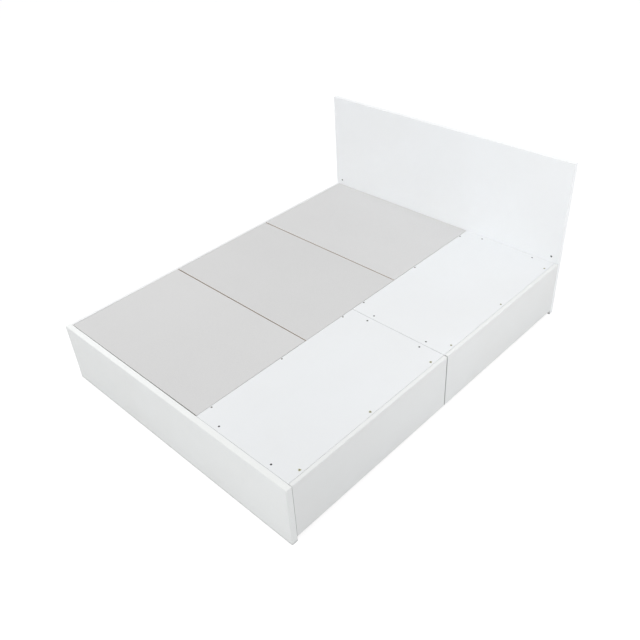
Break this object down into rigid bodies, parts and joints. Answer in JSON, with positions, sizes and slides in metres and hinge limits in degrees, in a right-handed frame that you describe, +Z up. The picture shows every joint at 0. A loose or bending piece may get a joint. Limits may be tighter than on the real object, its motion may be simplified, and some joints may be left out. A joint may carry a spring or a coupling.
{
  "type": "platform bed with storage drawers",
  "caption": "Platform bed with a flat panel headboard, lift-off deck boards and wide storage drawers on roller runners along one side.",
  "frame": {"origin": "on the floor, under the middle of the bed", "axes": "+X across the bed towards the drawers, +Y along the bed towards the headboard, +Z up"},
  "size_m": [1.52, 1.96, 0.862],
  "materials": {
    "white_board": "white foil-faced board with matching edging, satin",
    "grey_board": "light warm grey foil-faced board, matt, with a faint fleck",
    "raw_timber": "planed softwood, unfinished",
    "drawer_board": "white foil-wrapped drawer board, satin",
    "drawer_bottom": "white-faced hardboard, satin",
    "runner_enamel": "epoxy-coated sheet steel, gloss",
    "roller_nylon": "moulded nylon, satin",
    "bracket_steel": "zinc-plated steel",
    "screw_steel": "yellow-passivated steel, dull",
    "cam_zinc": "die-cast zinc, satin"
  },
  "bodies": {
    "bed_frame": {"headboard": "white_board", "footboard": "white_board", "side_rail": "white_board", "rail_cleat": "raw_timber", "end_cleats": "raw_timber", "chest_cleat": "raw_timber", "bearer_foot": "raw_timber", "bearer_head": "raw_timber", "bearer_legs": "raw_timber", "bearer_hangers": "bracket_steel", "corner_brackets": "bracket_steel", "deck_board_foot": "grey_board", "deck_board_middle": "grey_board", "deck_board_head": "grey_board", "panel_screws": "screw_steel", "chest_foot_top": "white_board", "chest_foot_outer_end": "white_board", "chest_foot_inner_end": "white_board", "chest_foot_back": "white_board", "chest_foot_front_rail": "white_board", "chest_foot_kick_rail": "white_board", "chest_foot_battens": "raw_timber", "chest_head_top": "white_board", "chest_head_outer_end": "white_board", "chest_head_inner_end": "white_board", "chest_head_back": "white_board", "chest_head_front_rail": "white_board", "chest_head_kick_rail": "white_board", "chest_head_battens": "raw_timber", "chest_foot_runner_a": "runner_enamel", "chest_foot_runner_b": "runner_enamel", "chest_head_runner_a": "runner_enamel", "chest_head_runner_b": "runner_enamel"},
    "drawer_foot": {"drawer_foot_front": "white_board", "drawer_foot_side_a": "drawer_board", "drawer_foot_side_b": "drawer_board", "drawer_foot_back": "drawer_board", "drawer_foot_bottom": "drawer_bottom", "drawer_foot_brace": "raw_timber", "drawer_foot_runner_a": "runner_enamel", "drawer_foot_runner_b": "runner_enamel", "drawer_foot_cams": "cam_zinc"},
    "chest_foot_roller_a": {"chest_foot_roller_a": "roller_nylon"},
    "drawer_foot_roller_a": {"drawer_foot_roller_a": "roller_nylon"},
    "chest_foot_roller_b": {"chest_foot_roller_b": "roller_nylon"},
    "drawer_foot_roller_b": {"drawer_foot_roller_b": "roller_nylon"},
    "drawer_head": {"drawer_head_front": "white_board", "drawer_head_side_a": "drawer_board", "drawer_head_side_b": "drawer_board", "drawer_head_back": "drawer_board", "drawer_head_bottom": "drawer_bottom", "drawer_head_brace": "raw_timber", "drawer_head_runner_a": "runner_enamel", "drawer_head_runner_b": "runner_enamel", "drawer_head_cams": "cam_zinc"},
    "chest_head_roller_a": {"chest_head_roller_a": "roller_nylon"},
    "drawer_head_roller_a": {"drawer_head_roller_a": "roller_nylon"},
    "chest_head_roller_b": {"chest_head_roller_b": "roller_nylon"},
    "drawer_head_roller_b": {"drawer_head_roller_b": "roller_nylon"}
  },
  "joints": [
    {"name": "drawer_foot_slide", "type": "slide", "parent": "bed_frame", "child": "drawer_foot", "axis": [1, 0, 0], "range_m": [0, 0.39]},
    {"name": "chest_foot_roller_a_spin", "type": "hinge", "parent": "bed_frame", "child": "chest_foot_roller_a", "pos_m": [0.725, -0.93, 0.0733], "axis": [0, 1, 0], "continuous": true},
    {"name": "drawer_foot_roller_a_spin", "type": "hinge", "parent": "drawer_foot", "child": "drawer_foot_roller_a", "pos_m": [0.256, -0.9293, 0.0733], "axis": [0, 1, 0], "continuous": true},
    {"name": "chest_foot_roller_b_spin", "type": "hinge", "parent": "bed_frame", "child": "chest_foot_roller_b", "pos_m": [0.725, -0.02, 0.0733], "axis": [0, 1, 0], "continuous": true},
    {"name": "drawer_foot_roller_b_spin", "type": "hinge", "parent": "drawer_foot", "child": "drawer_foot_roller_b", "pos_m": [0.256, -0.0207, 0.0733], "axis": [0, 1, 0], "continuous": true},
    {"name": "drawer_head_slide", "type": "slide", "parent": "bed_frame", "child": "drawer_head", "axis": [1, 0, 0], "range_m": [0, 0.39]},
    {"name": "chest_head_roller_a_spin", "type": "hinge", "parent": "bed_frame", "child": "chest_head_roller_a", "pos_m": [0.725, 0.02, 0.0733], "axis": [0, 1, 0], "continuous": true},
    {"name": "drawer_head_roller_a_spin", "type": "hinge", "parent": "drawer_head", "child": "drawer_head_roller_a", "pos_m": [0.256, 0.0207, 0.0733], "axis": [0, 1, 0], "continuous": true},
    {"name": "chest_head_roller_b_spin", "type": "hinge", "parent": "bed_frame", "child": "chest_head_roller_b", "pos_m": [0.725, 0.93, 0.0733], "axis": [0, 1, 0], "continuous": true},
    {"name": "drawer_head_roller_b_spin", "type": "hinge", "parent": "drawer_head", "child": "drawer_head_roller_b", "pos_m": [0.256, 0.9293, 0.0733], "axis": [0, 1, 0], "continuous": true}
  ],
  "couplings": [
    {"joint": "chest_foot_roller_a_spin", "follows": "drawer_foot_slide", "rad_per_m": 90.909},
    {"joint": "drawer_foot_roller_a_spin", "follows": "drawer_foot_slide", "rad_per_m": 90.909},
    {"joint": "chest_foot_roller_b_spin", "follows": "drawer_foot_slide", "rad_per_m": 90.909},
    {"joint": "drawer_foot_roller_b_spin", "follows": "drawer_foot_slide", "rad_per_m": 90.909},
    {"joint": "chest_head_roller_a_spin", "follows": "drawer_head_slide", "rad_per_m": 90.909},
    {"joint": "drawer_head_roller_a_spin", "follows": "drawer_head_slide", "rad_per_m": 90.909},
    {"joint": "chest_head_roller_b_spin", "follows": "drawer_head_slide", "rad_per_m": 90.909},
    {"joint": "drawer_head_roller_b_spin", "follows": "drawer_head_slide", "rad_per_m": 90.909}
  ]
}
